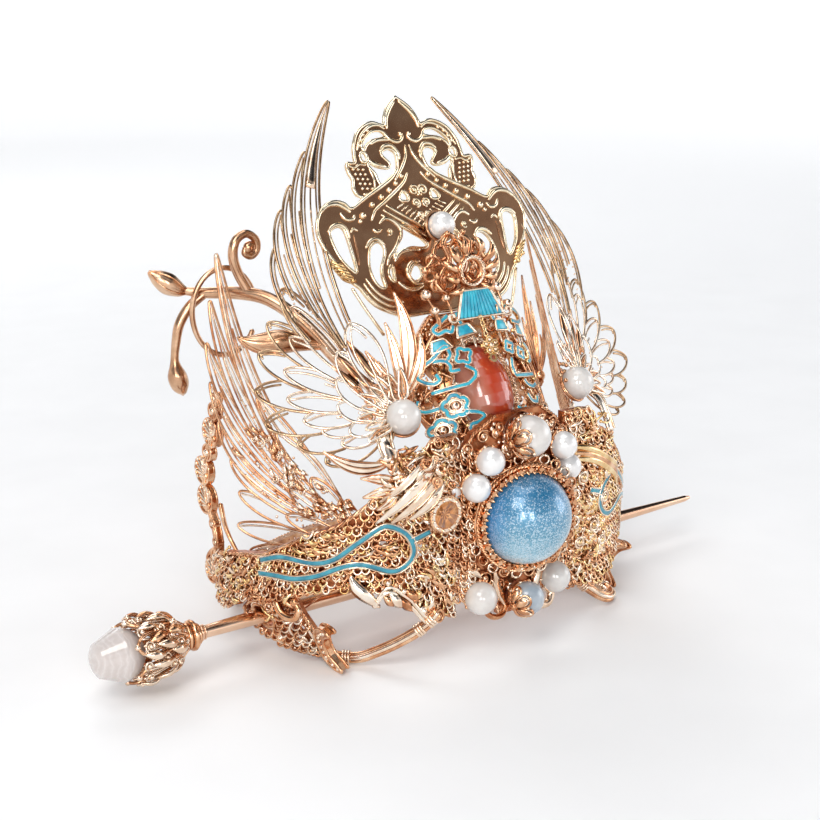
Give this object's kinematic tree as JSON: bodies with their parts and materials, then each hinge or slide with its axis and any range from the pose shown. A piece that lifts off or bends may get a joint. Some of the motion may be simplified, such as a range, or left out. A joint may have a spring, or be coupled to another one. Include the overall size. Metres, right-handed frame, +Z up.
{
  "type": "hair crown with hairpin",
  "caption": "Filigree topknot crown with a winged front, leaning back plate, set stones and pearls, open round a hair knot and crossed by a hairpin that slides out sideways.",
  "frame": {"origin": "middle of the topknot hollow, on the plane that the crown stands on", "axes": "+X to the wearer's left, along the hairpin towards its pointed end; +Y backwards; +Z up"},
  "size_m": [0.1696, 0.0843, 0.1139],
  "materials": {
    "rose_gold": "polished",
    "pale_gold": "polished",
    "yellow_gold": "polished",
    "pin_gold": "satin",
    "enamel": "glossy enamel",
    "pearl": "pearl lustre",
    "quartz": "polished, milky",
    "grey_quartz": "polished, milky",
    "blue_glass": "polished, with glitter inside",
    "agate": "polished",
    "amber_glass": "faceted and polished"
  },
  "bodies": {
    "crown": {"front_plate": "rose_gold", "side_net_right": "rose_gold", "side_net_left": "rose_gold", "tail_right": "rose_gold", "tail_left": "rose_gold", "tail_fin_right": "rose_gold", "tail_fin_left": "rose_gold", "rim_arc_right": "rose_gold", "rim_arc_left": "rose_gold", "back_band": "rose_gold", "plume_right": "rose_gold", "plume_left": "rose_gold", "blue_bezel": "rose_gold", "blue_cabochon": "blue_glass", "centre_frame": "rose_gold", "oval_setting": "pale_gold", "oval_cabochon": "agate", "pavilion_screen": "enamel", "roof_tiles": "enamel", "charm_flower": "yellow_gold", "crest_ring": "yellow_gold", "back_plate": "yellow_gold", "top_pearl_cup": "rose_gold", "top_pearl": "pearl", "upper_wing_right": "pale_gold", "upper_wing_left": "pale_gold", "lower_wing_right": "rose_gold", "lower_wing_left": "rose_gold", "wing_bead_right": "quartz", "wing_bead_left": "quartz", "crown_bead": "quartz", "crown_bead_cap": "rose_gold", "pearl_right_upper": "pearl", "pearl_right_lower": "pearl", "pearl_left_upper": "pearl", "pearl_left_lower": "pearl", "pearl_left_side": "pearl", "base_bead_centre": "grey_quartz", "base_bead_right": "quartz", "base_bead_left": "quartz", "base_bead_cap": "rose_gold", "amber_cup": "pale_gold", "amber_stone": "amber_glass", "enamel_loop_right": "enamel", "enamel_loop_left": "enamel", "leaf_spray_right": "yellow_gold", "leaf_spray_left": "yellow_gold", "lower_spray_left": "pale_gold", "branch_left": "rose_gold"},
    "hairpin": {"pin_shaft": "pin_gold", "pin_cap": "rose_gold", "pin_drop": "quartz"}
  },
  "joints": [
    {"name": "hairpin_slide", "type": "slide", "parent": "crown", "child": "hairpin", "axis": [-1, 0, 0], "range_m": [0, 0.13]}
  ]
}
